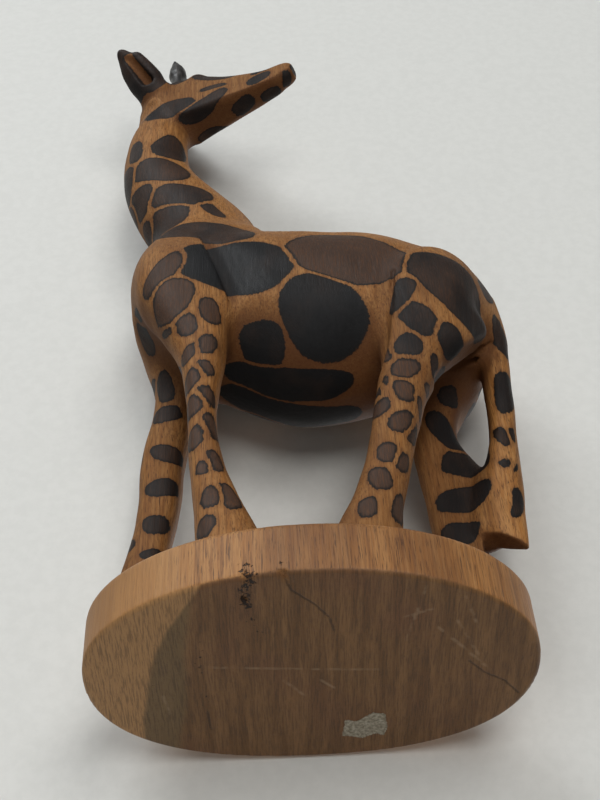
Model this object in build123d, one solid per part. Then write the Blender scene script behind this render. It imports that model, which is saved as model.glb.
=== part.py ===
"""Carved giraffe statue, looking back over its body, on an oval plinth.

Millimetres. +Z up, the plinth's underside on Z = 0 with its centre at the origin.
The giraffe's chest faces -X, its tail is at +X and its left side faces -Y.
One block of wood: each region of the carving is its own solid, and they meet face to face.
"""

import os
from math import cos, pi, radians, sin

from build123d import *

# Plinth
BASE_LENGTH = 84.6
BASE_WIDTH = 54.6
BASE_THICKNESS = 12.0
BASE_TOP_EDGE = 1.6
BASE_FOOT_EDGE = 0.6

# How square a section is: 2 is an ellipse, more is squarer
ROUND = 2.0
FULL = 2.15
CARVED = 2.5
BASE_LEFT_SIDE = 2.05
BASE_RIGHT_SIDE = 2.35
SECTION_POINTS = 24

# Barrel of the body: x, lowest z, highest z, half width
TORSO = [
    (-38.0, 107.0, 120.0, 5.0),
    (-35.5, 101.0, 126.0, 9.5),
    (-29.0, 93.0, 131.0, 13.5),
    (-20.0, 85.0, 132.0, 16.5),
    (-10.0, 79.0, 130.0, 18.5),
    (0.0, 74.5, 129.5, 19.0),
    (10.0, 74.5, 128.5, 19.0),
    (20.0, 77.5, 127.0, 18.5),
    (30.0, 80.0, 123.0, 17.0),
    (38.0, 82.5, 119.5, 14.5),
    (44.0, 86.0, 114.0, 11.0),
    (48.0, 91.0, 107.0, 6.0),
]

# Neck: centre x, centre y, centre z, lean of the section, half depth, half width
NECK = [
    (-17.0, 0.0, 121.0, -48.0, 17.5, 11.5),
    (-21.5, -0.2, 136.0, -46.0, 15.2, 10.8),
    (-26.5, -0.4, 148.0, -38.0, 12.2, 9.8),
    (-31.8, -0.6, 159.5, -24.0, 10.4, 9.0),
    (-34.2, -0.8, 171.0, -8.0, 9.0, 8.2),
    (-34.2, -1.0, 181.0, 3.0, 8.3, 7.4),
    (-33.0, -1.0, 191.0, 8.0, 7.4, 6.8),
    (-32.2, -1.0, 200.0, 4.0, 6.2, 6.0),
]

# Head: it is turned right round, and points back along +X and a little to the left
SKULL = (-31.0, -1.0, 200.0)
HEAD_YAW = -26.0
# distance ahead of the skull's middle, lowest z, highest z, half width
HEAD = [
    (-8.0, 196.5, 205.5, 3.0),
    (-6.0, 191.0, 210.0, 5.2),
    (0.0, 188.0, 213.0, 6.5),
    (6.0, 187.2, 212.8, 6.2),
    (12.0, 187.2, 210.8, 5.4),
    (18.0, 187.6, 206.0, 4.5),
    (25.0, 188.2, 201.5, 3.7),
    (32.0, 189.0, 198.4, 3.2),
    (37.0, 190.0, 197.4, 2.9),
    (39.4, 191.6, 196.0, 1.9),
]

# Legs: z, front edge x, back edge x, inner |y|, outer |y|
FRONT_LEFT_LEG = [
    (122.0, -31.0, -22.0, 6.0, 12.0),
    (112.0, -35.0, -17.5, 4.0, 17.0),
    (100.0, -35.5, -15.6, 4.5, 19.0),
    (86.0, -30.0, -14.6, 6.5, 18.8),
    (72.0, -24.8, -15.4, 8.5, 18.0),
    (56.0, -23.2, -17.0, 9.5, 17.0),
    (41.0, -22.4, -15.4, 9.5, 17.0),
    (26.0, -21.2, -10.6, 9.0, 18.0),
    (15.0, -20.6, -6.2, 8.0, 19.0),
    (9.0, -20.4, -4.2, 8.0, 19.0),
]
FRONT_RIGHT_LEG = [
    (122.0, -31.0, -22.0, 6.0, 12.0),
    (112.0, -35.0, -20.0, 4.0, 16.5),
    (100.0, -34.6, -20.0, 4.0, 18.0),
    (88.0, -32.6, -22.0, 5.0, 17.0),
    (74.0, -34.2, -24.6, 6.0, 16.0),
    (58.0, -35.4, -26.0, 6.5, 15.5),
    (40.0, -36.8, -28.2, 6.5, 15.0),
    (24.0, -37.4, -29.2, 6.5, 14.0),
    (9.0, -37.6, -28.4, 6.5, 13.0),
]
HIND_LEFT_LEG = [
    (113.0, 27.0, 36.0, 5.0, 12.0),
    (104.0, 23.0, 40.0, 4.0, 17.0),
    (93.0, 20.8, 41.0, 4.0, 19.5),
    (82.0, 19.8, 37.6, 5.5, 19.8),
    (70.0, 18.4, 32.0, 7.5, 19.0),
    (56.0, 15.8, 26.0, 9.0, 18.5),
    (42.0, 13.2, 22.4, 9.5, 18.0),
    (28.0, 8.8, 19.2, 9.5, 18.0),
    (16.0, 3.4, 17.8, 9.0, 18.5),
    (9.0, 0.6, 17.6, 9.0, 18.5),
]
HIND_RIGHT_LEG = [
    (114.0, 28.0, 37.0, 5.0, 12.0),
    (104.0, 24.5, 42.0, 3.0, 16.5),
    (93.0, 24.0, 43.5, 2.5, 18.0),
    (84.0, 25.4, 41.5, 3.5, 17.5),
    (74.0, 26.4, 36.6, 4.5, 16.5),
    (66.0, 26.4, 37.0, 5.0, 16.0),
    (56.0, 27.0, 41.8, 5.0, 15.5),
    (46.0, 27.6, 43.2, 4.8, 15.2),
    (36.0, 28.0, 42.2, 4.6, 15.0),
    (26.0, 28.4, 40.6, 4.6, 15.0),
    (17.0, 28.0, 39.2, 4.8, 15.0),
    (9.0, 27.6, 38.2, 5.0, 15.0),
]

# Tail: z, front edge x, back edge x, inner y, outer y (y to the giraffe's right is positive)
TAIL = [
    (108.0, 38.0, 45.5, -4.5, 4.5),
    (99.0, 42.4, 49.4, -4.5, 4.5),
    (90.0, 44.0, 49.8, -3.5, 4.0),
    (76.0, 42.6, 48.9, -2.5, 4.5),
    (62.0, 41.8, 48.1, -1.2, 6.5),
    (48.0, 38.6, 47.2, 0.0, 8.2),
    (38.0, 38.0, 46.8, 1.0, 9.2),
    (31.0, 38.8, 46.2, 1.6, 9.0),
    (28.0, 41.0, 45.2, 2.6, 8.0),
]

# Ears: root and tip measured from the skull's middle: ahead, to the side, up
EAR_ROOT = (-1.5, 4.4, 5.0)
EAR_TIP = (-8.0, 16.5, 19.0)
# The way the broad face of an ear runs: ahead, to the side, up
EAR_BROAD = (0.92, 0.18, 0.33)
# share of the ear's length, half width, half thickness
EAR = [
    (0.0, 3.2, 2.4),
    (0.25, 4.0, 2.2),
    (0.5, 4.4, 1.9),
    (0.8, 3.2, 1.5),
    (0.97, 1.5, 0.9),
]

# Horns: root and tip from the skull's middle, and radii
HORN_ROOT = (3.4, 2.4, 9.0)
HORN_TIP = (3.0, 3.1, 26.0)
HORN_ROOT_R = 2.2
HORN_TIP_R = 1.6
HORN_TIP_ROUND = 1.28

# Scrap of paper label let into the underside: its middle, and its torn outline round that
LABEL_CENTRE = (9.6, 17.5)
LABEL_OUTLINE = [
    (-4.1, 2.9),
    (-3.7, -1.9),
    (-1.3, -1.3),
    (1.6, -3.9),
    (4.0, -3.3),
    (4.5, 1.1),
    (3.9, 3.4),
    (2.2, 2.6),
    (-0.2, 4.0),
]
LABEL_THICKNESS = 0.2


def section(plane, half_a, half_b, power=ROUND, left_power=None):
    """One closed face on plane, half_a by half_b. power says how square; left_power is for its -Y half."""
    points = []
    for i in range(SECTION_POINTS):
        turn = 2 * pi * i / SECTION_POINTS
        c, s = cos(turn), sin(turn)
        on_left = i > SECTION_POINTS / 2
        flatness = 2 / (left_power if left_power and on_left else power)
        along = half_a * abs(c) ** flatness * (1 if c > 0 else -1)
        across = half_b * abs(s) ** flatness * (1 if s > 0 else -1)
        points.append(plane.from_local_coords(Vector(along, across, 0)))
    return Face(Wire(Edge.make_spline(points, periodic=True)))


def upright(stations, side=1, power=CARVED):
    """A limb lofted through level sections: z, front x, back x, inner y, outer y."""
    faces = []
    for z, front, back, inner, outer in stations:
        middle = ((front + back) / 2, side * (inner + outer) / 2, z)
        faces.append(section(Plane(middle), (back - front) / 2, (outer - inner) / 2, power))
    return loft(faces)


def barrel(stations):
    """The body, lofted along X: x, lowest z, highest z, half width."""
    faces = []
    for x, low, high, half_width in stations:
        plane = Plane((x, 0, (low + high) / 2), x_dir=(0, 1, 0), z_dir=(1, 0, 0))
        faces.append(section(plane, half_width, (high - low) / 2, FULL))
    return loft(faces)


def neck():
    faces = []
    for x, y, z, lean, half_depth, half_width in NECK:
        axis = (sin(radians(lean)), 0, cos(radians(lean)))
        across = (cos(radians(lean)), 0, -sin(radians(lean)))
        faces.append(section(Plane((x, y, z), x_dir=across, z_dir=axis), half_depth, half_width))
    return loft(faces)


AHEAD = Vector(cos(radians(HEAD_YAW)), sin(radians(HEAD_YAW)), 0)
ASIDE = Vector(-sin(radians(HEAD_YAW)), cos(radians(HEAD_YAW)), 0)


def in_head(ahead, aside, up):
    """A point given from the skull's middle, in the statue's frame."""
    return Vector(*SKULL) + AHEAD * ahead + ASIDE * aside + Vector(0, 0, up)


def head():
    faces = []
    for ahead, low, high, half_width in HEAD:
        plane = Plane(in_head(ahead, 0, (low + high) / 2 - SKULL[2]), x_dir=ASIDE, z_dir=AHEAD)
        faces.append(section(plane, half_width, (high - low) / 2, CARVED))
    return loft(faces)


def ear(side):
    root = in_head(EAR_ROOT[0], side * EAR_ROOT[1], EAR_ROOT[2])
    tip = in_head(EAR_TIP[0], side * EAR_TIP[1], EAR_TIP[2])
    along = (tip - root).normalized()
    ahead, aside, up = EAR_BROAD
    broad = AHEAD * ahead + ASIDE * aside * side + Vector(0, 0, up)
    faces = []
    for share, half_width, half_thickness in EAR:
        plane = Plane(root + (tip - root) * share, x_dir=broad, z_dir=along)
        faces.append(section(plane, half_width, half_thickness))
    return loft(faces)


def horn(side):
    root = in_head(HORN_ROOT[0], side * HORN_ROOT[1], HORN_ROOT[2])
    tip = in_head(HORN_TIP[0], side * HORN_TIP[1], HORN_TIP[2])
    along = (tip - root).normalized()
    shaft = Cone(HORN_ROOT_R, HORN_TIP_R, (tip - root).length)
    shaft = Plane((root + tip) / 2, z_dir=along) * shaft
    rounded = shaft.edges().sort_by_distance(tip)[0]
    return fillet(rounded, HORN_TIP_ROUND)


def base():
    outline = section(Plane.XY, BASE_LENGTH / 2, BASE_WIDTH / 2, BASE_RIGHT_SIDE, BASE_LEFT_SIDE)
    slab = extrude(outline, BASE_THICKNESS)
    slab = fillet(slab.edges().group_by(Axis.Z)[-1], BASE_TOP_EDGE)
    return fillet(slab.edges().group_by(Axis.Z)[0], BASE_FOOT_EDGE)


def label():
    outline = Polyline(*LABEL_OUTLINE, close=True)
    scrap = extrude(make_face(outline), LABEL_THICKNESS)
    return Pos(*LABEL_CENTRE, 0) * scrap


def trimmed(shape, *neighbours):
    """shape without what its neighbours already fill, as its largest solid."""
    for other in neighbours:
        shape = shape - other
    return max(shape.solids(), key=lambda solid: solid.volume)


def main():
    os.makedirs("parts", exist_ok=True)
    paper = label()
    plinth = base() - paper
    body = barrel(TORSO)
    throat = trimmed(neck(), body)
    skull = trimmed(head(), throat, body)
    legs = {
        "front_left_leg": upright(FRONT_LEFT_LEG, side=-1),
        "front_right_leg": upright(FRONT_RIGHT_LEG, side=1),
        "hind_left_leg": upright(HIND_LEFT_LEG, side=-1),
        "hind_right_leg": upright(HIND_RIGHT_LEG, side=1),
    }
    legs = {name: trimmed(leg, body, throat, plinth) for name, leg in legs.items()}
    nodes = {
        "base": plinth,
        "torso": body,
        "neck": throat,
        "head": skull,
        **legs,
        "tail": trimmed(upright(TAIL), body, *legs.values()),
        "left_ear": trimmed(ear(1), skull, throat),
        "right_ear": trimmed(ear(-1), skull, throat),
        "left_horn": trimmed(horn(1), skull),
        "right_horn": trimmed(horn(-1), skull),
        "paper_label": paper,
    }
    for name, shape in nodes.items():
        export_step(shape, f"parts/{name}.step")


main()
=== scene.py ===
"""Looks of the carved giraffe statue: one block of wood, shaped by gouge and knife and stained with spots.

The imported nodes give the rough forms. They are blended into one carved volume, cut with the grooves and
facets of the carver's tools, and divided again into one closed piece per node. Working units are
millimetres; the pieces are written in metres.
"""

import math

import bmesh
import bpy
import numpy as np
import openvdb
from mathutils import Matrix, Vector


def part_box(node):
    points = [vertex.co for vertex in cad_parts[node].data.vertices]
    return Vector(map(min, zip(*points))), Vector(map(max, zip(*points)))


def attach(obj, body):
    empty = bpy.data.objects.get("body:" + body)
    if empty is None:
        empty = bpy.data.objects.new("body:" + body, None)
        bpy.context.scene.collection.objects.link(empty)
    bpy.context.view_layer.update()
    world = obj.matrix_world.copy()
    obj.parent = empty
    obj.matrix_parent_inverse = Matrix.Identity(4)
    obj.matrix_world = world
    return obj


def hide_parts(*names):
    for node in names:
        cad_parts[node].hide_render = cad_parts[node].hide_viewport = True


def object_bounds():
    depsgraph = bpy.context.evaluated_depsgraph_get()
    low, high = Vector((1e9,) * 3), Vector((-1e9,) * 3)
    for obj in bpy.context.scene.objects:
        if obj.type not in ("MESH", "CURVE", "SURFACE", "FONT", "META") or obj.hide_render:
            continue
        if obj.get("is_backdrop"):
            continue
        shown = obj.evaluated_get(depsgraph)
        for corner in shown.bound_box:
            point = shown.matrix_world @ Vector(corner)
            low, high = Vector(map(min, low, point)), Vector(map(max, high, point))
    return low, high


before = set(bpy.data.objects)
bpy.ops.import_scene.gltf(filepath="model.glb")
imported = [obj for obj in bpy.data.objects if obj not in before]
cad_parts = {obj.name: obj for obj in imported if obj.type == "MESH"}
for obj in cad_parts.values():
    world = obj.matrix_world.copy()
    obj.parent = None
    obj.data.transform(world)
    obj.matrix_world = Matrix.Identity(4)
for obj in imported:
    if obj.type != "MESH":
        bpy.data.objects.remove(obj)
size_at_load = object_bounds()

MM = 0.001
VOXEL = 0.5
# Distances are measured this far from a surface
REACH = 9.0
# Free space kept round the statue and round each piece
MARGIN = 4.0
# How far a piece runs on under its neighbour, and how steeply it dips there
TENON = 2.0
SEAM_DIP = 0.05
SEED = 11

LEGS = ("front_left_leg", "front_right_leg", "hind_left_leg", "hind_right_leg")
CARVED = ("torso", "neck", "head", "left_ear", "right_ear", "left_horn", "right_horn", "tail") + LEGS


# ---------------------------------------------------------------- volumes
# A volume is an array of signed distances in millimetres, negative in the wood.


class Grid:
    """The block of space round the statue, sampled every VOXEL millimetres."""

    def __init__(self):
        low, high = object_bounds()
        self.start = np.floor((np.array(low) / MM - MARGIN) / VOXEL).astype(int)
        end = np.ceil((np.array(high) / MM + MARGIN) / VOXEL).astype(int)
        self.shape = tuple(end - self.start + 1)
        self.axes = [(self.start[i] + np.arange(self.shape[i])) * VOXEL for i in range(3)]

    def window(self, low, high):
        """Slices of the samples between two corners."""
        cut = []
        for i in range(3):
            first = int(np.clip(math.floor(low[i] / VOXEL) - self.start[i], 0, self.shape[i] - 1))
            last = int(np.clip(math.ceil(high[i] / VOXEL) - self.start[i] + 1, first + 1, self.shape[i]))
            cut.append(slice(first, last))
        return tuple(cut)

    def points(self, cut=(slice(None),) * 3):
        """x, y and z of the samples in cut, ready to be combined."""
        x, y, z = (self.axes[i][cut[i]].astype(np.float32) for i in range(3))
        return x[:, None, None], y[None, :, None], z[None, None, :]


grid = Grid()


def node_mesh(node):
    """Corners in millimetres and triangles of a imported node."""
    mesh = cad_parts[node].data
    corners = np.empty(len(mesh.vertices) * 3, np.float32)
    mesh.vertices.foreach_get("co", corners)
    mesh.calc_loop_triangles()
    triangles = np.empty(len(mesh.loop_triangles) * 3, np.int32)
    mesh.loop_triangles.foreach_get("vertices", triangles)
    return corners.reshape(-1, 3) / MM, triangles.reshape(-1, 3)


def node_distance(node):
    """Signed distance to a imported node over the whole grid, level beyond REACH."""
    corners, triangles = node_mesh(node)
    spacing = openvdb.createLinearTransform(VOXEL)
    band = openvdb.FloatGrid.createLevelSetFromPolygons(
        corners, triangles=triangles.astype(np.uint32), transform=spacing, halfWidth=REACH / VOXEL
    )
    field = np.full(grid.shape, REACH, np.float32)
    band.copyToArray(field, ijk=tuple(int(v) for v in grid.start))
    return field


def join(a, b, round_over):
    """Union of two volumes with a fillet about round_over millimetres wide."""
    overlap = np.maximum(round_over - np.abs(a - b), 0) / round_over
    return np.minimum(a, b) - overlap * overlap * round_over * 0.25


def cut_away(a, tool, round_over):
    """a without tool, with the lip of the cut rounded."""
    return -join(-a, tool, round_over)


def rod(points, start, end, start_radius, end_radius):
    """Distance to a tapered rod with round ends."""
    start, end = np.array(start, float), np.array(end, float)
    run = end - start
    x, y, z = points
    px, py, pz = x - start[0], y - start[1], z - start[2]
    share = np.clip((px * run[0] + py * run[1] + pz * run[2]) / (run @ run), 0, 1)
    gap = np.sqrt((px - share * run[0]) ** 2 + (py - share * run[1]) ** 2 + (pz - share * run[2]) ** 2)
    return (gap - (start_radius + share * (end_radius - start_radius))).astype(np.float32)


def blade(points, tip, normal):
    """Distance to the half space on the normal side of a plane through tip."""
    normal = np.array(normal, float) / np.linalg.norm(normal)
    x, y, z = points
    return -((x - tip[0]) * normal[0] + (y - tip[1]) * normal[1] + (z - tip[2]) * normal[2])


def near(start, end, reach):
    """The window of the grid within reach of a line."""
    both = np.array([start, end], float)
    return grid.window(both.min(0) - reach, both.max(0) + reach)


def gouge(field, start, end, start_radius, end_radius, soft=0.8):
    """Cuts a round groove into field."""
    cut = near(start, end, max(start_radius, end_radius) + soft + 1)
    field[cut] = cut_away(field[cut], rod(grid.points(cut), start, end, start_radius, end_radius), soft)


def build_up(field, start, end, start_radius, end_radius, soft=3.0):
    """Adds a rounded swelling to field."""
    cut = near(start, end, max(start_radius, end_radius) + soft + 1)
    field[cut] = join(field[cut], rod(grid.points(cut), start, end, start_radius, end_radius), soft)


def pare(field, low, high, tip, normal, soft=0.6):
    """Cuts a flat facet: takes off what lies beyond a plane, inside a window."""
    cut = grid.window(low, high)
    field[cut] = cut_away(field[cut], blade(grid.points(cut), tip, normal), soft)


def waves(points, count, shortest, longest, seed):
    """Smooth unevenness between about -1 and 1, made of waves in random directions."""
    rng = np.random.default_rng(seed)
    x, y, z = points
    total = 0
    for _ in range(count):
        direction = rng.normal(size=3)
        direction *= 2 * math.pi / rng.uniform(shortest, longest) / np.linalg.norm(direction)
        phase = rng.uniform(0, 2 * math.pi)
        total = total + np.sin(x * direction[0] + y * direction[1] + z * direction[2] + phase)
    return (total / math.sqrt(count)).astype(np.float32)


# How wide the fillet is where each part grows out of the rest
FILLET = {"neck": 9.0, "head": 4.0, "leg": 7.0, "tail": 3.5, "horn": 1.2, "ear": 2.6}
UNEVENNESS = 0.10


def carve():
    """The blended volume, and each node's own distances."""
    apart = {node: node_distance(node) for node in CARVED}
    body = join(apart["torso"], apart["neck"], FILLET["neck"])
    skull = apart["head"].copy()
    carve_head(skull)
    body = join(body, skull, FILLET["head"])
    for leg in LEGS:
        body = join(body, apart[leg], FILLET["leg"])
    body = join(body, apart["tail"], FILLET["tail"])
    carve_shoulder(body)
    carve_haunch(body)
    carve_tail(body)
    for side in ("left", "right"):
        body = join(body, apart[side + "_horn"], FILLET["horn"])
        body = join(body, apart[side + "_ear"], FILLET["ear"])
    for side in (-1, 1):
        carve_ear(body, side)
        carve_horn(body, side)
    body += UNEVENNESS * waves(grid.points(), 7, 7.0, 16.0, SEED)
    return body, apart


def carve_shoulder(body):
    """The knife cut behind each shoulder, and the hollow where the leg leaves the flank.

    The cut stops at a wall on the shoulder's side, slopes out on the flank, and ends within reach.
    """
    for side in (-1, 1):
        top, foot = np.array([-18.4, side * 16.2, 107.0]), np.array([-12.8, side * 15.4, 86.0])
        cut = near(top, foot, 18)
        points = grid.points(cut)
        wall = blade(points, top, (0.966, side * 0.1, 0.258))
        slope = blade(points, top, (-0.24, side * 0.97, -0.08))
        reach = rod(points, top + (4, side * 2, 6), foot + (3, side * 2, 4), 9.5, 9.0)
        body[cut] = cut_away(body[cut], np.maximum(np.maximum(wall, slope), reach), 0.5)
        gouge(body, (-12.4, side * 20.6, 90), (-12.8, side * 16.0, 73), 2.0, 2.8, 1.5)


def carve_haunch(body):
    """Grooves in front of each thigh, a sharp lower edge to the rump, and gouge marks beside the tail."""
    for side in (-1, 1):
        gouge(body, (21.8, side * 20.8, 106), (19.2, side * 19.6, 87), 1.0, 2.4, 1.0)
        gouge(body, (19.2, side * 19.6, 87), (16.6, side * 13.0, 68), 2.4, 3.2, 1.2)
        for step in range(4):
            x = 17.0 + 1.4 * step
            gouge(body, (x + 2.2, side * 19.2, 103 - 2 * step), (x - 1.4, side * 18.0, 77), 0.5, 1.1, 0.12)
    build_up(body, (33.5, -13.5, 76), (39.0, -10.5, 84), 4.2, 4.2, 4.0)
    pare(body, (29.5, -21, 62), (46, -4.2, 88), (30.8, -14, 67.5), (0.72, 0.28, -0.63), 0.25)
    for step in range(4):
        y = -9.5 + 2.3 * step
        gouge(body, (34.0, y, 79.6), (43.0, y + 0.8, 86.4), 1.0, 0.8, 0.12)


# Where the head turns on the neck, and how far it is turned to the statue's left
HEAD_AT = np.array([-31.0, -1.0, 0.0])
HEAD_YAW = math.radians(-26)
AHEAD = np.array([math.cos(HEAD_YAW), math.sin(HEAD_YAW), 0])
ASIDE = np.array([-math.sin(HEAD_YAW), math.cos(HEAD_YAW), 0])


def in_head(ahead, aside, height):
    """A point given along and across the turned head, at a height above the plinth's underside."""
    return HEAD_AT + AHEAD * ahead + ASIDE * aside + np.array([0, 0, height])


def carve_head(skull):
    """Flat cheeks that narrow to the muzzle, a flat jaw with sharp edges, a brow, a mouth and nostrils."""
    ends = [in_head(ahead, aside, height) for ahead, height in ((2, 183), (43, 215)) for aside in (-12, 12)]
    low, high = np.min(ends, axis=0), np.max(ends, axis=0)
    for side in (-1, 1):
        build_up(skull, in_head(7, side * 4.0, 190.6), in_head(33, side * 2.0, 191.0), 2.0, 1.4, 2.0)
        cheek = ASIDE * side + AHEAD * 0.1
        pare(skull, low, high, in_head(12, side * 5.1, 195), cheek, 0.25)
    pare(skull, low, high, in_head(12, 0, 188.7), -0.04 * AHEAD - (0, 0, 1), 0.15)
    build_up(skull, in_head(10.0, -2.4, 208.4), in_head(12.5, 2.4, 208.4), 2.5, 2.5, 1.6)
    gouge(skull, in_head(6.6, -6, 214.6), in_head(6.6, 6, 214.6), 1.8, 1.8, 0.8)
    for side in (-1, 1):
        gouge(skull, in_head(33, side * 3.7, 192.8), in_head(40, side * 2.8, 193.6), 0.6, 0.6, 0.2)
        gouge(skull, in_head(36.2, side * 3.5, 196.2), in_head(38.0, side * 3.0, 196.4), 0.8, 0.6, 0.2)


# Ahead, aside and height of the ear's ends in the head, and the way its blade broadens
EAR_ROOT = (-1.5, 4.4, 205.0)
EAR_TIP = (-8.0, 16.5, 219.0)
EAR_BROAD = (0.92, 0.18, 0.33)


def ear_line(side):
    """Root, tip, the way the blade of an ear broadens and the way its hollow faces."""
    root = in_head(EAR_ROOT[0], side * EAR_ROOT[1], EAR_ROOT[2])
    tip = in_head(EAR_TIP[0], side * EAR_TIP[1], EAR_TIP[2])
    broad = AHEAD * EAR_BROAD[0] + ASIDE * EAR_BROAD[1] * side + np.array([0, 0, EAR_BROAD[2]])
    out = np.cross(tip - root, broad) * side
    return root, tip, broad, out / np.linalg.norm(out)


def carve_ear(body, side):
    """A leaf-shaped ear with a long hollow in the face that looks out and down."""
    root, tip, broad, out = ear_line(side)
    run = tip - root
    build_up(body, root - run * 0.05, root + run * 0.3, 3.8, 3.2, 4.0)
    build_up(body, root + run * 0.1, root + run * 0.62, 3.0, 2.6, 3.0)
    build_up(body, root + run * 0.62, tip, 2.4, 1.2, 2.0)
    build_up(body, root + run * 0.34 + broad * 2.5, root + run * 0.76 + broad * 2.9, 2.3, 1.6, 1.8)
    hollow = out * 3.2 + broad * 1.0
    gouge(body, root + run * 0.30 + hollow, root + run * 0.80 + hollow, 2.0, 1.6, 0.5)


def carve_horn(body, side):
    """A horn swells in the middle and is cut to a wedge at its tip."""
    root, tip = in_head(3.4, side * 2.4, 213.0), in_head(3.0, side * 3.1, 224.6)
    middle = root + (tip - root) * 0.4
    build_up(body, middle, middle + (0, 0, 2.5), 2.6, 2.3, 0.8)
    for lean in (-1, 1):
        pare(body, tip - (3.4, 3.4, 8), tip + (3.4, 3.4, 3), tip, AHEAD * lean * 0.86 + (0, 0, 0.5), 0.2)


def carve_tail(body):
    """The tail is flat on its near face, runs into the far leg below the gap, and ends in three facets."""
    pare(body, (36, -8, 30), (52, 3, 66), (44, -0.6, 50), (0.06, -1, -0.09), 0.4)
    low, high = (37, -8, 11), (52, 14, 50)
    pare(body, low, high, (41.5, 0, 32.8), (-0.54, 0, -0.84), 0.2)
    pare(body, low, high, (44.7, 4.0, 31.5), (0, 0.75, -0.66), 0.3)
    pare(body, low, high, (45.3, 0, 30.4), (0.994, 0, -0.105), 0.3)
    build_up(body, (38.0, 6.4, 38), (41.0, 5.6, 52), 3.8, 3.4, 1.5)


# How far out from the wood the hollows are felt for
FEELERS = (3.0, 7.0)


def hollowness(body, piece):
    """How deep in a hollow each corner of a piece lies, from 0 on open wood to 1. It sets the painted shade
    in hollows.
    """
    at, facing = corners_of(piece), normals_of(piece)
    open_share = np.zeros(len(at), np.float32)
    for step in FEELERS:
        where = np.rint((at + facing * step) / VOXEL).astype(int) - grid.start
        where = np.clip(where, 0, np.array(grid.shape) - 1)
        open_share += np.clip(body[tuple(where.T)] / step, 0, 1) / len(FEELERS)
    return 1 - open_share


# ---------------------------------------------------------------- pieces


def surface(field, cut, name):
    """A closed, smooth-shaded mesh object where field is zero."""
    volume = openvdb.FloatGrid(background=float(MARGIN))
    volume.transform = openvdb.createLinearTransform(VOXEL)
    start = [int(grid.start[i] + cut[i].start) for i in range(3)]
    volume.copyFromArray(np.ascontiguousarray(field), ijk=tuple(start), tolerance=0.0)
    corners, quads = volume.convertToQuads(0.0)
    corners = np.asarray(corners, np.float64)
    quads = np.asarray(quads, np.int32)
    p = corners[quads]
    if np.einsum("ij,ij->", p[:, 0], np.cross(p[:, 1] - p[:, 0], p[:, 2] - p[:, 0])) < 0:
        quads = quads[:, ::-1]
    mesh = bpy.data.meshes.new(name)
    mesh.vertices.add(len(corners))
    mesh.vertices.foreach_set("co", (corners * MM).astype(np.float32).ravel())
    mesh.loops.add(quads.size)
    mesh.loops.foreach_set("vertex_index", quads.ravel())
    mesh.polygons.add(len(quads))
    mesh.polygons.foreach_set("loop_start", np.arange(0, quads.size, 4, dtype=np.int32))
    mesh.polygons.foreach_set("use_smooth", np.ones(len(quads), bool))
    mesh.update(calc_edges=True)
    mesh.validate()
    made = bpy.data.objects.new(name, mesh)
    bpy.context.collection.objects.link(made)
    return made


def corners_of(piece):
    """Vertex positions of a piece, in millimetres."""
    found = np.empty(len(piece.data.vertices) * 3, np.float32)
    piece.data.vertices.foreach_get("co", found)
    return found.reshape(-1, 3) / MM


def normals_of(piece):
    """Outward directions at a piece's vertices."""
    found = np.empty(len(piece.data.vertices) * 3, np.float32)
    piece.data.vertices.foreach_get("normal", found)
    return found.reshape(-1, 3)


def divide(body, apart):
    """One closed piece per node. Beyond its seam a piece dips under its neighbour, so no joint shows."""
    pieces = {}
    nearest = np.full(grid.shape, REACH * 2, np.float32)
    second = nearest.copy()
    for field in apart.values():
        np.minimum(second, np.maximum(nearest, field), out=second)
        np.minimum(nearest, field, out=nearest)
    for node, field in apart.items():
        low, high = (np.array(corner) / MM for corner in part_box(node))
        cut = grid.window(low - MARGIN - TENON, high + MARGIN + TENON)
        own, first = field[cut], nearest[cut]
        seam = own - np.where(own <= first, second[cut], first)
        shape = np.maximum(body[cut] + SEAM_DIP * np.maximum(seam, 0) ** 2, seam - TENON)
        pieces[node] = surface(shape, cut, node + "_carved")
    return pieces


# ---------------------------------------------------------------- stain

# Each spot: where it is (x, y, z), half its length, half its width, and the tilt of its length from the
# level, in degrees. y only says which face of the wood the spot is on.
NECK_SPOTS = [
    (-30, -8, 173, 6.5, 4.6, 80),
    (-32, -9, 159, 7.6, 4.8, -24),
    (-26.5, -10, 146, 7.4, 5.0, -18),
    (-38, -6, 149, 5.2, 3.6, -75),
    (-31, -8, 135, 8.0, 5.8, 62),
    (-18.4, -10.5, 137, 4.8, 1.7, -60),
    (-42, -3, 160, 6.5, 3.6, -82),
    (-20, -14, 121, 12.0, 6.0, -24),
    (-39, -2, 136, 5.5, 3.2, -75),
    (-39.5, -7.5, 172, 5.4, 2.2, -88),
]
HEAD_SPOTS = [
    (-30.4, -7.5, 192.2, 7.2, 3.7, 22),
    (-21.3, -10.1, 190.2, 7.6, 2.7, 24),
    (-9.7, -10.6, 188.1, 3.8, 2.2, 40),
    (-2.0, -14.1, 189.1, 2.9, 2.2, 36),
    (-5.0, -17.1, 192.6, 3.6, 2.3, -4),
    (2.6, -17.5, 190.4, 2.4, 1.5, 88),
    (4.4, -18.0, 194.8, 2.4, 1.8, 80),
    (-18.0, -12.0, 204.2, 7.0, 2.4, -32),
    (-2.2, -17.3, 197.8, 5.0, 1.5, -8),
    (-29.0, -7.0, 210, 4.4, 2.6, 0),
    (-18.4, -12.1, 197.2, 3.9, 1.1, -22),
]
BODY_SPOTS = [
    (-12.5, -18, 102.5, 12.5, 8.6, -8),
    (-35, -5, 102, 4.0, 2.4, -60),
    (6.6, -16, 86.5, 10.4, 8.9, -60),
    (-7.5, -11, 81.5, 5.6, 4.8, -80),
    (-1, -4.5, 75, 17.5, 3.7, 1),
    (-1, 6, 76, 18.0, 5.6, 2),
]
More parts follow.
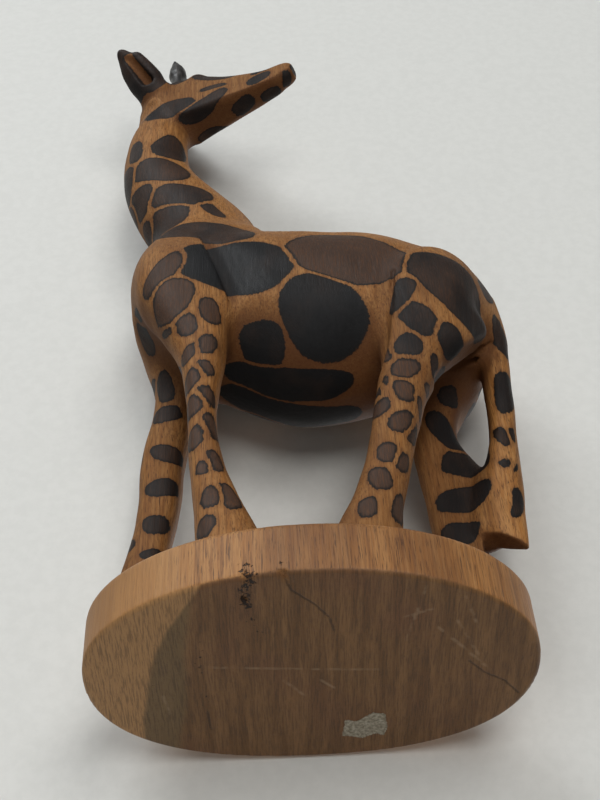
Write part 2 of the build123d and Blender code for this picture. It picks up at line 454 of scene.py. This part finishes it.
SHOULDER_SPOTS = [
    (-29, -18, 100.5, 8.2, 2.9, 60),
    (-27, -18, 90, 7.0, 4.8, 84),
    (-23.5, -18, 81.5, 3.5, 2.8, -80),
    (-18, -18, 85, 4.2, 2.5, -76),
    (-28, -15, 83, 3.2, 1.5, 0),
    (13.5, -19, 105, 13.6, 9.0, -24),
]
RUMP_SPOTS = [
    (36.6, -17, 91.5, 14.0, 7.4, -58),
    (24.6, -19, 87.5, 5.6, 2.4, 75),
    (26.8, -19.6, 78.6, 5.4, 3.4, -68),
    (24, -19, 71, 3.4, 2.6, 84),
    (33, -16, 74, 4.2, 2.6, -70),
    (29, -17, 66, 2.8, 1.6, 80),
]
HIND_LEFT_SPOTS = [
    (22.5, -19, 63.5, 3.1, 2.6, 67),
    (21.5, -18, 56, 2.9, 2.3, 86),
    (27, -15, 59.5, 2.8, 1.3, 85),
    (20, -18, 48, 3.1, 2.4, -87),
    (25, -16, 52.5, 2.4, 1.2, 80),
    (22.5, -16.5, 46, 3.0, 1.7, 75),
    (17, -18, 39, 2.9, 2.3, 89),
    (20, -17, 36.5, 2.8, 1.7, 78),
    (14.5, -18, 31, 3.0, 2.2, -87),
    (12, -18, 23.5, 2.6, 2.1, -83),
    (18, -16.5, 24, 3.6, 1.8, 76),
    (19.5, -17, 71, 4.4, 1.4, 74),
    (18.5, -17, 59, 2.8, 1.0, 78),
    (16, -13, 55, 6.5, 2.6, 86),
]
HIND_RIGHT_SPOTS = [
    (34.5, 4, 79, 2.9, 2.5, 70),
    (33.5, 5, 68, 6.6, 2.6, -66),
    (37.2, 5, 57.2, 6.4, 3.9, -12),
    (35, 5, 46.5, 6.2, 3.6, -3),
    (32.5, 5, 37, 4.6, 2.8, -6),
]
TAIL_SPOTS = [
    (47.5, -3, 90, 5.4, 2.2, -79),
    (46, -2, 73.5, 6.0, 2.3, 82),
    (43.5, -2, 59.5, 2.9, 1.5, -83),
    (46.5, -1.5, 60, 2.4, 1.0, 85),
    (43, -2, 52.5, 1.5, 1.1, -54),
    (46.5, -1, 51, 1.6, 0.8, 82),
    (46, -1, 41, 4.0, 1.4, 80),
]
FRONT_LEFT_SPOTS = [
    (-22.5, -17.5, 72.5, 3.4, 2.0, 55),
    (-18.5, -18, 75, 2.9, 2.1, 86),
    (-18.8, -17.5, 67, 2.5, 1.7, -75),
    (-22, -17, 64, 3.4, 2.0, 60),
    (-18.5, -17, 58.5, 3.2, 1.7, -74),
    (-21.7, -16.5, 56, 3.4, 2.1, 60),
    (-18.2, -16.5, 49.5, 3.4, 1.9, -75),
    (-21.4, -16.5, 46.7, 3.3, 2.1, 65),
    (-17, -17, 39.5, 3.3, 1.9, -75),
    (-20, -17, 38, 2.6, 1.9, 70),
    (-14.2, -17.5, 28, 3.6, 2.2, -70),
    (-18.4, -17.5, 28, 2.6, 2.2, 70),
    (-19, -17.5, 21, 2.9, 2.0, 70),
]
SPINE_SPOTS = [
    (-43, 1, 179, 4.4, 3.2, 85),
    (-43.5, 2, 166, 5.4, 3.6, 80),
    (-42, 1, 150, 6.0, 3.4, 75),
    (-39, 2, 128, 5.4, 3.2, 70),
    (-38, 1, 113, 5.0, 4.2, 60),
    (-24.5, 2, 182, 3.6, 3.0, 80),
    (-22.5, 2, 169, 4.8, 4.0, 80),
    (-17.5, 2, 156, 5.0, 4.6, 60),
    (-11, 2, 145, 5.2, 4.8, 50),
    (-2, 1, 133, 6.6, 6.2, 10),
    (13, 2, 130, 7.2, 7.6, 0),
    (28, 1, 125, 6.4, 7.4, 0),
    (40, 1, 117, 4.6, 6.6, 0),
    (46, -10, 101, 3.8, 3.0, 60),
    (46, 10, 101, 3.8, 3.0, 60),
]
EDGE_SPOTS = [
    (-36, 11, 92, 3.6, 2.4, 80),
    (-35, 12, 79, 3.2, 2.2, 85),
    (-36, 11, 67, 3.0, 2.2, 80),
    (-36.5, 12, 54, 3.2, 2.2, 85),
    (-37.5, 11, 41, 3.0, 2.0, 85),
    (-38, 11, 28, 3.2, 2.0, 85),
    (-25, -11, 72, 3.0, 2.0, 80),
    (-23.5, -11, 58, 3.0, 2.0, 80),
    (-22.5, -11, 44, 3.0, 2.0, 80),
    (-22, -11, 30, 3.0, 2.0, 80),
    (44, 12, 88, 4.4, 3.0, 80),
    (39, 12, 70, 3.6, 2.4, 80),
    (43, 12, 52, 3.6, 2.4, 80),
    (42, 12, 36, 3.4, 2.2, 80),
    (40, 12, 22, 3.0, 2.0, 80),
    (32, -10, 68, 3.2, 2.2, 75),
    (25, -10, 52, 3.0, 2.0, 80),
    (22, -10, 38, 3.0, 2.0, 80),
]
FRONT_RIGHT_SPOTS = [
    (-34, -1, 100, 4.8, 3.0, -60),
    (-30, 5.5, 88, 4.8, 2.2, -68),
    (-29.5, 6, 79, 3.6, 2.6, 8),
    (-29, 6.4, 66.5, 3.8, 2.9, 4),
    (-30, 6.6, 56.5, 3.5, 2.4, 4),
    (-31, 6.6, 45, 3.0, 2.6, -85),
    (-31.5, 6.6, 36.5, 2.8, 1.4, 8),
]
# The bare line left between two spots
GAP = 0.95
# Spots are drawn this much larger than they are listed
SPREAD = 1.08
# The power of a spot's outline: 2 is an ellipse, and more is squarer
SQUARE = 2.5
# How far the outlines stray
WANDER = 0.55
# How far a spot reaches round an edge, as a share of its width
WRAP = 1.1
# Farther than any spot
FAR = 99.0
# Spots nearer the middle than this have no twin on the other side
BODY_MIDDLE = 6.5
HEAD_MIDDLE = 3.0
# The square of how far round a spot's centre the wood's direction is averaged
FOOTPRINT = 4.0


def no_twin(spot):
    """For spots on the middle line, or listed on both sides."""
    return []


def twin_on_body(spot):
    x, y, z, length, width, tilt = spot
    return [(x, -y, z, length, width, -tilt)] if abs(y) > BODY_MIDDLE else []


def twin_on_head(spot):
    *place, length, width, tilt = spot
    aside = (np.array(place) - HEAD_AT) @ ASIDE
    twin = np.array(place) - 2 * aside * ASIDE
    return [(*twin, length, width, -tilt)] if abs(aside) > HEAD_MIDDLE else []


def twin_on_leg(middle):
    """The rule for a leg whose middle is at y = middle: a spot shows again on the leg's far face."""

    def twin(spot):
        x, y, z, length, width, tilt = spot
        return [(x, 2 * middle - y, z, length, width, -tilt)]

    return twin


# The spots of each region, how brown their stain is, from 0 for black to 1, and how they are mirrored
REGIONS = [
    (NECK_SPOTS, 0.45, twin_on_body),
    (HEAD_SPOTS, 0.35, twin_on_head),
    (BODY_SPOTS, 0.05, twin_on_body),
    (SHOULDER_SPOTS, 0.75, twin_on_body),
    (RUMP_SPOTS, 0.35, twin_on_body),
    (HIND_LEFT_SPOTS, 0.85, twin_on_leg(-13.7)),
    (HIND_RIGHT_SPOTS, 0.3, twin_on_leg(10.2)),
    (TAIL_SPOTS, 0.3, no_twin),
    (FRONT_LEFT_SPOTS, 0.9, twin_on_leg(-13.4)),
    (FRONT_RIGHT_SPOTS, 0.35, twin_on_leg(10.6)),
    (SPINE_SPOTS, 0.5, no_twin),
    (EDGE_SPOTS, 0.5, no_twin),
]


class Spots:
    """All the stain spots, set on the carved surface."""

    def __init__(self, pieces):
        self.corners = np.concatenate([corners_of(piece) for piece in pieces])
        self.normals = np.concatenate([normals_of(piece) for piece in pieces])
        self.rows = []
        for spots, tone, twins in REGIONS:
            for spot in spots:
                self.set_down(*spot, tone)
                for twin in twins(spot):
                    self.set_down(*twin, tone)

    def set_down(self, x, y, z, length, width, tilt, tone):
        """Moves a spot's centre on to the wood and lays its axes along the surface."""
        away = ((self.corners - (x, y, z)) ** 2).sum(1)
        at = int(np.argmin(away))
        close = (self.corners - self.corners[at]) ** 2 @ np.ones(3) < FOOTPRINT
        facing = self.normals[(away < away[at] + FOOTPRINT) & close].mean(0)
        facing /= np.linalg.norm(facing)
        level = np.array([1.0, 0, 0]) - facing * facing[0]
        level /= np.linalg.norm(level)
        rise = np.cross(facing, level)
        turn = math.radians(tilt)
        along = level * math.cos(turn) + rise * math.sin(turn)
        size = (length * SPREAD, width * SPREAD)
        self.rows.append((self.corners[at], along, np.cross(facing, along), facing, *size, tone))

    def paint(self, piece):
        """Writes the distance to the nearest spot's edge, in millimetres, and that spot's tone."""
        at = corners_of(piece)
        wander = [waves(at.T, 6, 8.0, 20.0, SEED + axis) for axis in range(3)]
        at = at + WANDER * np.stack(wander, axis=1)
        closest = np.full(len(at), FAR, np.float32)
        runner_up = closest.copy()
        tone = np.zeros(len(at), np.float32)
        for centre, along, across, facing, length, width, brown in self.rows:
            off = at - centre
            a, b, c = off @ along / length, off @ across / width, off @ facing / (width * WRAP)
            radius = (abs(a) ** SQUARE + abs(b) ** SQUARE + abs(c) ** SQUARE) ** (1 / SQUARE)
            edge = (radius - 1) * math.sqrt(length * width)
            better = edge < closest
            runner_up = np.where(better, closest, np.minimum(runner_up, edge))
            closest = np.where(better, edge, closest)
            tone = np.where(better, brown, tone)
        inside = np.maximum(closest, GAP / 2 + (closest - runner_up) / 2)
        store(piece, "spot", inside)
        store(piece, "tone", tone)


# Radii of the bare wood in the hollow of an ear and below its root
EAR_HOLLOW = 1.6
EAR_PATCH = 4.2


def paint_ear(piece, side):
    """An ear is dark except for its hollow and a patch below its root."""
    root, tip, broad, out = ear_line(side)
    run = tip - root
    at = corners_of(piece)
    start = root + run * 0.34 + out * 1.2 + broad * 0.9
    length = run * 0.46
    share = np.clip((at - start) @ length / (length @ length), 0, 1)
    hollow = np.linalg.norm(at - start - share[:, None] * length, axis=1) - EAR_HOLLOW
    patch = np.linalg.norm(at - (root - (1.5, 0, 3.6)), axis=1) - EAR_PATCH
    store(piece, "spot", -np.minimum(hollow, patch))


def store(piece, name, values):
    """Keeps a number at each vertex of a piece, for its material to read."""
    made = piece.data.attributes.get(name) or piece.data.attributes.new(name, "FLOAT", "POINT")
    made.data.foreach_set("value", values.astype(np.float32))


# ---------------------------------------------------------------- materials


class Value:
    """A shader socket that can be reckoned with."""

    def __init__(self, tree, socket):
        self.tree, self.socket = tree, socket

    def __add__(self, other):
        return self.tree.maths("ADD", self, other)

    def __sub__(self, other):
        return self.tree.maths("SUBTRACT", self, other)

    def __rsub__(self, other):
        return self.tree.maths("SUBTRACT", other, self)

    def __mul__(self, other):
        return self.tree.maths("MULTIPLY", self, other)

    def ramp(self, low, high, start=0.0, end=1.0):
        """start where the value is low, end where it is high, smooth between."""
        return self.tree.node(
            "MapRange",
            {"interpolation_type": "SMOOTHSTEP"},
            {"Value": self, "From Min": low, "From Max": high, "To Min": start, "To Max": end},
        )


class Shader:
    """A node material, built by calls."""

    def __init__(self, name):
        self.material = bpy.data.materials.new(name)
        self.material.use_nodes = True
        self.nodes = self.material.node_tree.nodes
        self.links = self.material.node_tree.links
        self.surface = next(n for n in self.nodes if n.type == "BSDF_PRINCIPLED")

    def put(self, socket, value):
        """Sets a socket to a constant, or links it to a value."""
        if isinstance(value, Value):
            self.links.new(value.socket, socket)
        else:
            socket.default_value = value

    def node(self, kind, settings=None, inputs=None, output=0):
        """Makes a node. settings are set first, and inputs go by socket name or number."""
        made = self.nodes.new("ShaderNode" + kind)
        for key, value in (settings or {}).items():
            setattr(made, key, value)
        for key, value in (inputs or {}).items():
            self.put(made.inputs[key], value)
        return Value(self, made.outputs[output])

    def maths(self, operation, first, second):
        return self.node("Math", {"operation": operation}, {0: first, 1: second})

    def place(self, stretch, shift=(0, 0, 0)):
        """Object coordinates in millimetres, times stretch."""
        where = self.node("TexCoord", output="Object")
        scale = tuple(s / MM for s in stretch)
        return self.node("Mapping", inputs={"Vector": where, "Scale": scale, "Location": shift})

    def noise(self, stretch, detail=2.0, rough=0.5, shift=(0, 0, 0), distort=0.0):
        """Noise between about 0 and 1, with stretch cells to the millimetre each way."""
        return self.node(
            "TexNoise",
            inputs={
                "Vector": self.place(stretch, shift),
                "Scale": 1.0,
                "Detail": detail,
                "Roughness": rough,
                "Distortion": distort,
            },
        )

    def attribute(self, name):
        """A number stored at the vertices."""
        return self.node("Attribute", {"attribute_name": name}, output="Fac")

    def mix(self, share, low, high):
        """The colour low where share is 0, and high where it is 1."""
        low, high = (end if isinstance(end, Value) else (*end, 1) for end in (low, high))
        return self.node("Mix", {"data_type": "RGBA"}, {"Factor": share, 6: low, 7: high}, output=2)

    def finish(self, colour, rough, bump=None, height=0.2, specular=0.5):
        """Feeds the surface. height is the relief of bump, in millimetres."""
        self.put(self.surface.inputs["Base Color"], colour)
        self.put(self.surface.inputs["Roughness"], rough)
        self.put(self.surface.inputs["Specular IOR Level"], specular)
        if bump is not None:
            relief = self.node("Bump", inputs={"Height": bump, "Distance": height * MM, "Strength": 1.0})
            self.put(self.surface.inputs["Normal"], relief)
        return self.material


# Linear colours of the wood and of the stain. TAN_SHADED is painted shade, for hollows and for wood that
# faces down
TAN = (0.31, 0.132, 0.034)
TAN_LIGHT = (0.39, 0.19, 0.062)
TAN_DARK = (0.12, 0.046, 0.015)
TAN_SHADED = (0.07, 0.024, 0.007)
PORE = (0.05, 0.02, 0.008)
INK_BLACK = (0.005, 0.005, 0.0055)
INK_BROWN = (0.055, 0.03, 0.019)
INK_RIM = (0.007, 0.0055, 0.0045)


def grain(shader):
    """Colour and relief of oiled wood, its grain running up Z."""
    streaks = shader.noise((1.1, 1.1, 0.045), detail=4, rough=0.65)
    fine = shader.noise((4.5, 4.5, 0.22), detail=3, rough=0.7, shift=(7, 3, 1))
    clouds = shader.noise((0.055, 0.055, 0.03), detail=2, shift=(2, 9, 4))
    colour = shader.mix(streaks.ramp(0.38, 0.62), TAN, TAN_LIGHT)
    colour = shader.mix(clouds.ramp(0.45, 0.72, 0, 0.55), colour, TAN_DARK)
    fibres = shader.noise((2.4, 2.4, 0.07), detail=3, rough=0.6, shift=(11, 4, 2))
    colour = shader.mix(fibres.ramp(0.48, 0.64, 0, 0.5), colour, TAN_DARK)
    pores = fine.ramp(0.53, 0.67, 0, 0.8)
    colour = shader.mix(pores, colour, PORE)
    return colour, streaks, fine


def spotted_wood():
    """Oiled wood with stained spots, black to brown. Each has a dark rim and a faint halo. Hollows, wood
    that faces down and the head are darkened with painted shade.
    """
    shader = Shader("spotted wood")
    wood, streaks, fine = grain(shader)
    ragged = shader.noise((1.6, 1.6, 0.7), detail=3, rough=0.6, shift=(5, 5, 5))
    edge = shader.attribute("spot") + (ragged - 0.5) * 1.1
    stained = edge.ramp(-0.12, 0.12, 1, 0)
    rim = (edge + 0.45).ramp(-0.5, 0.4, 0, 1)
    blotch = shader.noise((0.12, 0.12, 0.06), detail=3, shift=(1, 4, 8))
    brownness = (shader.attribute("tone") * 0.6 + blotch * 0.6).ramp(0.3, 0.9)
    ink = shader.mix(brownness, INK_BLACK, INK_BROWN)
    ink = shader.mix(fine.ramp(0.45, 0.7, 0, 0.55) * brownness, ink, TAN_DARK)
    ink = shader.mix(rim, ink, INK_RIM)
    halo = edge.ramp(0.0, 0.9, 0.35, 0)
    wood = shader.mix(halo, wood, TAN_DARK)
    # Painted shade: the "hollow" attribute darkens the wood towards TAN_SHADED in hollows, where the wood
    # faces down, and on the head
    wood = shader.mix(shader.attribute("hollow").ramp(0.08, 0.6, 0, 0.85), wood, TAN_SHADED)
    colour = shader.mix(stained, wood, ink)
    shade = shader.attribute("hollow").ramp(0.0, 0.5, 0, 0.3)
    rough = stained * -0.06 + shade + 0.44 + (streaks - 0.5) * 0.25
    relief = streaks * 0.5 + fine * 0.35 + stained * 0.12
    return shader.finish(colour, rough, relief, height=0.22, specular=0.17)


def stained_wood():
    """Wood stained black all over."""
    shader = Shader("stained wood")
    streaks = shader.noise((1.2, 1.2, 0.1), detail=3, rough=0.6)
    colour = shader.mix(streaks.ramp(0.4, 0.7), (0.012, 0.011, 0.01), (0.035, 0.03, 0.027))
    return shader.finish(colour, 0.42, streaks, height=0.2)


def base_wood():
    """Bare wood: upright grain on the rim, and sawn end grain with its marks on the underside."""
    shader = Shader("base wood")
    wood, streaks, fine = grain(shader)
    where = shader.node("SeparateXYZ", inputs={"Vector": shader.place((1, 1, 1))})
    along, height = where, Value(shader, where.socket.node.outputs["Z"])
    across = Value(shader, where.socket.node.outputs["Y"])
    wander = shader.noise((0.07, 0.07, 0.07), detail=3, shift=(3, 3, 3))
    outer = along + across * 0.26 - across * across * 0.007 + (wander - 0.5) * 3
    sapwood = outer.ramp(-30.6, -29.4, 1, 0)
    rim_pale = shader.mix(along.ramp(-24.5, -20.5, 0.55, 0), wood, (0.4, 0.21, 0.08))
    bands = shader.noise((0.5, 0.03, 0.1), detail=5, rough=0.6, distort=0.4)
    saw = shader.noise((3.2, 0.2, 0.4), detail=3, rough=0.7, shift=(4, 1, 0))
    specks = shader.noise((1.5, 1.5, 1.5), detail=3, rough=0.75, shift=(8, 2, 6))
    patch = shader.noise((0.05, 0.05, 0.05), detail=2, shift=(1, 6, 2))
    under = shader.mix(bands.ramp(0.36, 0.64), (0.135, 0.063, 0.02), (0.22, 0.11, 0.04))
    under = shader.mix(patch.ramp(0.45, 0.7, 0, 0.5), under, (0.16, 0.068, 0.03))
    dark_band = (along + across * 0.1 + (wander - 0.5) * 3).ramp(-24.2, -22.4, 0.75, 0)
    under = shader.mix(dark_band, under, (0.155, 0.1, 0.042))
    under = shader.mix(sapwood * 0.85, under, (0.42, 0.225, 0.088))
    under = shader.mix(saw.ramp(0.44, 0.62, 0, 0.5), under, (0.05, 0.025, 0.012))
    under = shader.mix(specks.ramp(0.66, 0.74, 0, 0.8), under, (0.022, 0.011, 0.006))
    under = shader.mix(specks.ramp(0.3, 0.24, 0, 0.3), under, (0.3, 0.2, 0.12))
    ragged = shader.noise((0.9, 0.9, 0.9), detail=4, rough=0.7, shift=(2, 2, 7))
    bark = (shader.attribute("bark") + (ragged - 0.5) * 9).ramp(-0.1, 0.5, 1, 0)
    under = shader.mix(bark, under, (0.014, 0.007, 0.004))
    crack = (shader.attribute("crack") + (ragged - 0.5) * 0.3).ramp(0.1, 0.35, 0.6, 0)
    under = shader.mix(crack, under, (0.02, 0.01, 0.006))
    worn = shader.noise((0.35, 0.35, 0.35), detail=2, shift=(6, 1, 1)).ramp(0.42, 0.6, 0.1, 1)
    scratch = shader.attribute("scratch").ramp(0.05, 0.5, 0.4, 0) * worn
    under = shader.mix(scratch, under, (0.36, 0.25, 0.15))
    downward = height.ramp(0.15, 0.75, 1, 0)
    colour = shader.mix(downward, rim_pale, under)
    colour = shader.mix(bark * 0.9, colour, (0.02, 0.01, 0.006))
    relief = streaks * 0.4 + fine * 0.3 + bands * 0.5 - bark * 1.5 - crack * 0.8
    return shader.finish(colour, 0.55, relief, height=0.2, specular=0.35)


def paper():
    """Old, faded paper."""
    shader = Shader("label paper")
    fibres = shader.noise((1.5, 1.5, 1.5), detail=4, rough=0.7)
    colour = shader.mix(fibres.ramp(0.35, 0.7), (0.2, 0.17, 0.12), (0.42, 0.38, 0.3))
    return shader.finish(colour, 0.8, fibres, height=0.1, specular=0.2)


def table_top():
    """A pale matt table, clear when it is seen from its back."""
    shader = Shader("table")
    mottle = shader.noise((0.4, 0.4, 0.4), detail=3, rough=0.6)
    colour = shader.mix(mottle.ramp(0.3, 0.7), (0.63, 0.635, 0.61), (0.66, 0.665, 0.64))
    shader.finish(colour, 0.55, specular=0.3)
    facing = shader.node("NewGeometry", output="Backfacing")
    clear = shader.node("BsdfTransparent")
    solid = Value(shader, shader.surface.outputs[0])
    choice = shader.node("MixShader", inputs={0: facing, 1: solid, 2: clear})
    output = next(n for n in shader.nodes if n.type == "OUTPUT_MATERIAL")
    shader.put(output.inputs["Surface"], choice)
    return shader.material


# ---------------------------------------------------------------- plinth and label


# Marks on the underside, as lines of (x, y): dark bark, fainter bark, cracks and scratches
BARK = [[(-12.2, -28), (-10.6, -25.8), (-11.8, -22), (-11.4, -18.5)]]
BARK_DOTS = [
    [(-20, -9), (-20.8, -1.5)],
    [(-20.3, 6), (-20, 11)],
    [(-11.4, -18.5), (-10.7, -15), (-8.6, -10.5)],
    [(-5, -27.5), (-3.5, -22.5)],
]
CRACKS = [
    [(28.8, -1), (32, 2.8), (35.8, 5.3), (39, 9.5)],
    [(-5, -26.5), (-3.5, -22.5), (0.5, -18.5), (3, -15), (4, -11)],
    [(-20, 11), (-19.5, 17)],
]
SCRATCHES = [
    [(24.5, -8.5), (33, 2)],
    [(26, -12.5), (30.5, -2.5)],
    [(22.5, -11), (27.5, -5)],
    [(-5.5, 2.5), (-1.5, 7.5)],
    [(1.5, 3), (4, 5.5)],
    [(-20, -2.2), (-3, -0.6), (12.5, 0.6)],
    [(16.5, -14), (21.5, -16)],
    [(-28, 5.5), (-27, 11.5)],
    [(20, -22), (17, -7.5)],
    [(27, -19), (30, -10)],
]


def line_distance(at, lines):
    """Distance in the level plane from each point to the nearest of some broken lines."""
    best = np.full(len(at), FAR)
    for line in lines:
        for a, b in zip(line, line[1:]):
            a, run = np.array(a, float), np.array(b, float) - np.array(a, float)
            share = np.clip((at[:, :2] - a) @ run / (run @ run), 0, 1)
            best = np.minimum(best, np.linalg.norm(at[:, :2] - a - share[:, None] * run, axis=1))
    return best


# Bites in the edge and underside: both ends of each, and the radius there
BITES = [
    ((-12.4, -27.4, 0.4), (-11.4, -25.6, -0.2), 0.9, 0.72),
    ((-11.8, -21, 0.4), (-11.2, -18.5, -0.2), 0.5, 0.4),
    ((-5.4, -27.6, 0.2), (-3.6, -24, -0.3), 0.9, 0.5),
]
# The marks fade out this far up the rim
MARKS_TOP = 2.5
FAINT_BARK = 0.9


def carve_base():
    """The plinth, with the bitten edge where bark was left in the wood."""
    field = np.minimum(node_distance("base"), node_distance("paper_label"))
    for start, end, start_radius, end_radius in BITES:
        gouge(field, start, end, start_radius, end_radius, 0.2)
    low, high = (np.array(corner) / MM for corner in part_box("base"))
    cut = grid.window(low - MARGIN, high + MARGIN)
    piece = surface(field[cut], cut, "base_carved")
    at = corners_of(piece)
    too_high = np.maximum(at[:, 2] - MARKS_TOP, 0)
    bark = np.minimum(line_distance(at, BARK), line_distance(at, BARK_DOTS) + FAINT_BARK)
    store(piece, "bark", bark + too_high)
    store(piece, "crack", line_distance(at, CRACKS) + too_high)
    store(piece, "scratch", line_distance(at, SCRATCHES) + too_high)
    return piece


LABEL_EDGE = [
    (-4.1, 2.9),
    (-3.7, -1.9),
    (-1.3, -1.3),
    (1.6, -3.9),
    (4.0, -3.3),
    (4.5, 1.1),
    (3.9, 3.4),
    (2.2, 2.6),
    (-0.2, 4.0),
]
# Heights of its two faces: one stands out below the plinth and one is sunk in it
LABEL_FACES = (-0.12, 0.05)
TEAR_STEPS = 14
TEAR = 0.16


def make_label():
    """A scrap of paper with torn edges, stuck to the underside."""
    rng = np.random.default_rng(SEED)
    low, high = (np.array(corner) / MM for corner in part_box("paper_label"))
    middle = (low + high) / 2
    rim = []
    for (ax, ay), (bx, by) in zip(LABEL_EDGE, LABEL_EDGE[1:] + LABEL_EDGE[:1]):
        for step in range(TEAR_STEPS):
            share = step / TEAR_STEPS
            tear = rng.uniform(-TEAR, TEAR, 2)
            rim.append((ax + (bx - ax) * share + tear[0], ay + (by - ay) * share + tear[1]))
    points = [(middle[0] + x, middle[1] + y, level) for level in LABEL_FACES for x, y in rim]
    count = len(rim)
    faces = [tuple(range(count)), tuple(range(2 * count - 1, count - 1, -1))]
    faces += [(i, i + count, (i + 1) % count + count, (i + 1) % count) for i in range(count)]
    mesh = bpy.data.meshes.new("label_scrap")
    mesh.from_pydata([tuple(v * MM for v in point) for point in points], [], faces)
    tidy = bmesh.new()
    tidy.from_mesh(mesh)
    bmesh.ops.recalc_face_normals(tidy, faces=tidy.faces)
    tidy.to_mesh(mesh)
    tidy.free()
    label = bpy.data.objects.new("label_scrap", mesh)
    bpy.context.collection.objects.link(label)
    return label


# ---------------------------------------------------------------- stage


# Half the table's width, how it leans towards the head, and its gap to the plinth, in metres
SPAN = 3.0
TABLE_LEAN = 0.045
TABLE_GAP = 0.0004


def make_table():
    """The pale table behind the statue, which lies on its right side. It is seen from its front only."""
    foot = size_at_load[1][1] + TABLE_GAP
    mesh = bpy.data.meshes.new("table")
    edge = [(-SPAN, -SPAN), (SPAN, -SPAN), (SPAN, SPAN), (-SPAN, SPAN)]
    mesh.from_pydata([(x, foot - TABLE_LEAN * z, z) for x, z in edge], [], [(0, 1, 2, 3)])
    table = bpy.data.objects.new("table", mesh)
    bpy.context.collection.objects.link(table)
    table.visible_shadow = False
    mesh.materials.append(table_top())
    table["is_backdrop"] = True


# Name, place, size, watts and colour of each light, in metres. All of them aim at the statue's middle
LIGHTS = [
    ("window", (-0.55, -1.0, 1.05), (0.9, 0.7), 12.0, (0.95, 0.98, 1.0)),
    ("ceiling", (0.4, -1.5, 0.25), (0.7, 0.7), 8.0, (1.0, 0.98, 0.96)),
    ("low_fill", (-0.2, -0.6, -0.85), (0.8, 0.8), 1.5, (1.0, 0.97, 0.93)),
    ("front_fill", (0.1, -1.3, -0.3), (0.5, 0.5), 4.8, (1.0, 0.98, 0.95)),
    ("rear_fill", (0.5, 1.1, 0.5), (1.0, 1.0), 9.0, (1.0, 0.98, 0.96)),
]
MIDDLE = (0, 0, 0.11)
AIR = (0.94, 0.97, 1.0, 1)
AIR_STRENGTH = 0.12


def area_light(name, place, size, power, colour):
    data = bpy.data.lights.new(name, "AREA")
    data.shape = "RECTANGLE"
    data.size, data.size_y = size
    data.energy = power
    data.color = colour
    lamp = bpy.data.objects.new(name, data)
    bpy.context.collection.objects.link(lamp)
    lamp.location = place
    lamp.rotation_mode = "QUATERNION"
    lamp.rotation_quaternion = (Vector(MIDDLE) - Vector(place)).to_track_quat("-Z", "Y")


def light_room():
    """Even daylight from a window above the head, with soft fills."""
    bpy.context.scene.view_settings.view_transform = "Standard"
    world = bpy.data.worlds.new("room")
    world.use_nodes = True
    ground = world.node_tree.nodes["Background"]
    ground.inputs["Color"].default_value = AIR
    ground.inputs["Strength"].default_value = AIR_STRENGTH
    bpy.context.scene.world = world
    for light in LIGHTS:
        area_light(*light)


def make_camera():
    """Looks up at the statue's left side from under the plinth."""
    data = bpy.data.cameras.new("camera")
    data.lens = 63.0
    data.sensor_width = 36.0
    data.clip_start, data.clip_end = 0.01, 20
    camera = bpy.data.objects.new("camera", data)
    bpy.context.collection.objects.link(camera)
    camera.location = (-0.0066, -0.2073, -0.1605)
    forward = Vector((0.024, 0.660, 0.751)).normalized()
    up = Vector((0.038, -0.751, 0.659))
    right = forward.cross(up).normalized()
    up = right.cross(forward)
    turn = [[right[i], up[i], -forward[i]] for i in range(3)]
    camera.rotation_mode = "QUATERNION"
    camera.rotation_quaternion = Matrix(turn).to_quaternion()
    bpy.context.scene.camera = camera


# ---------------------------------------------------------------- assembly


# Painted shade: the underside is darkened by how far its wood faces down, and the head all over
UNDERSIDE_SHADE = 1.05
UNDERSIDE_START = 0.02
HEAD_SHADE = 0.14


def shade(piece, node, body):
    """Stores how much painted shade each corner of a piece gets, from its hollows and from how far it faces
    down, with more on the head.
    """
    underside = -normals_of(piece)[:, 2] * UNDERSIDE_SHADE - UNDERSIDE_START
    painted_shade = np.maximum(hollowness(body, piece), underside)
    store(piece, "hollow", painted_shade + (HEAD_SHADE if node == "head" else 0))


def put_on(piece, node, material):
    """Gives a piece its material, and lets it stand for its node."""
    piece.data.materials.append(material)
    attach(piece, "root")
    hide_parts(node)


def main():
    body, apart = carve()
    pieces = divide(body, apart)
    spots = Spots(pieces.values())
    spotted, stained = spotted_wood(), stained_wood()
    for node, piece in pieces.items():
        spots.paint(piece)
        if node.endswith("ear"):
            paint_ear(piece, 1 if node.startswith("left") else -1)
        shade(piece, node, body)
        if node.endswith("horn"):
            put_on(piece, node, stained)
        else:
            put_on(piece, node, spotted)
    put_on(carve_base(), "base", base_wood())
    put_on(make_label(), "paper_label", paper())
    make_table()
    light_room()
    make_camera()


main()
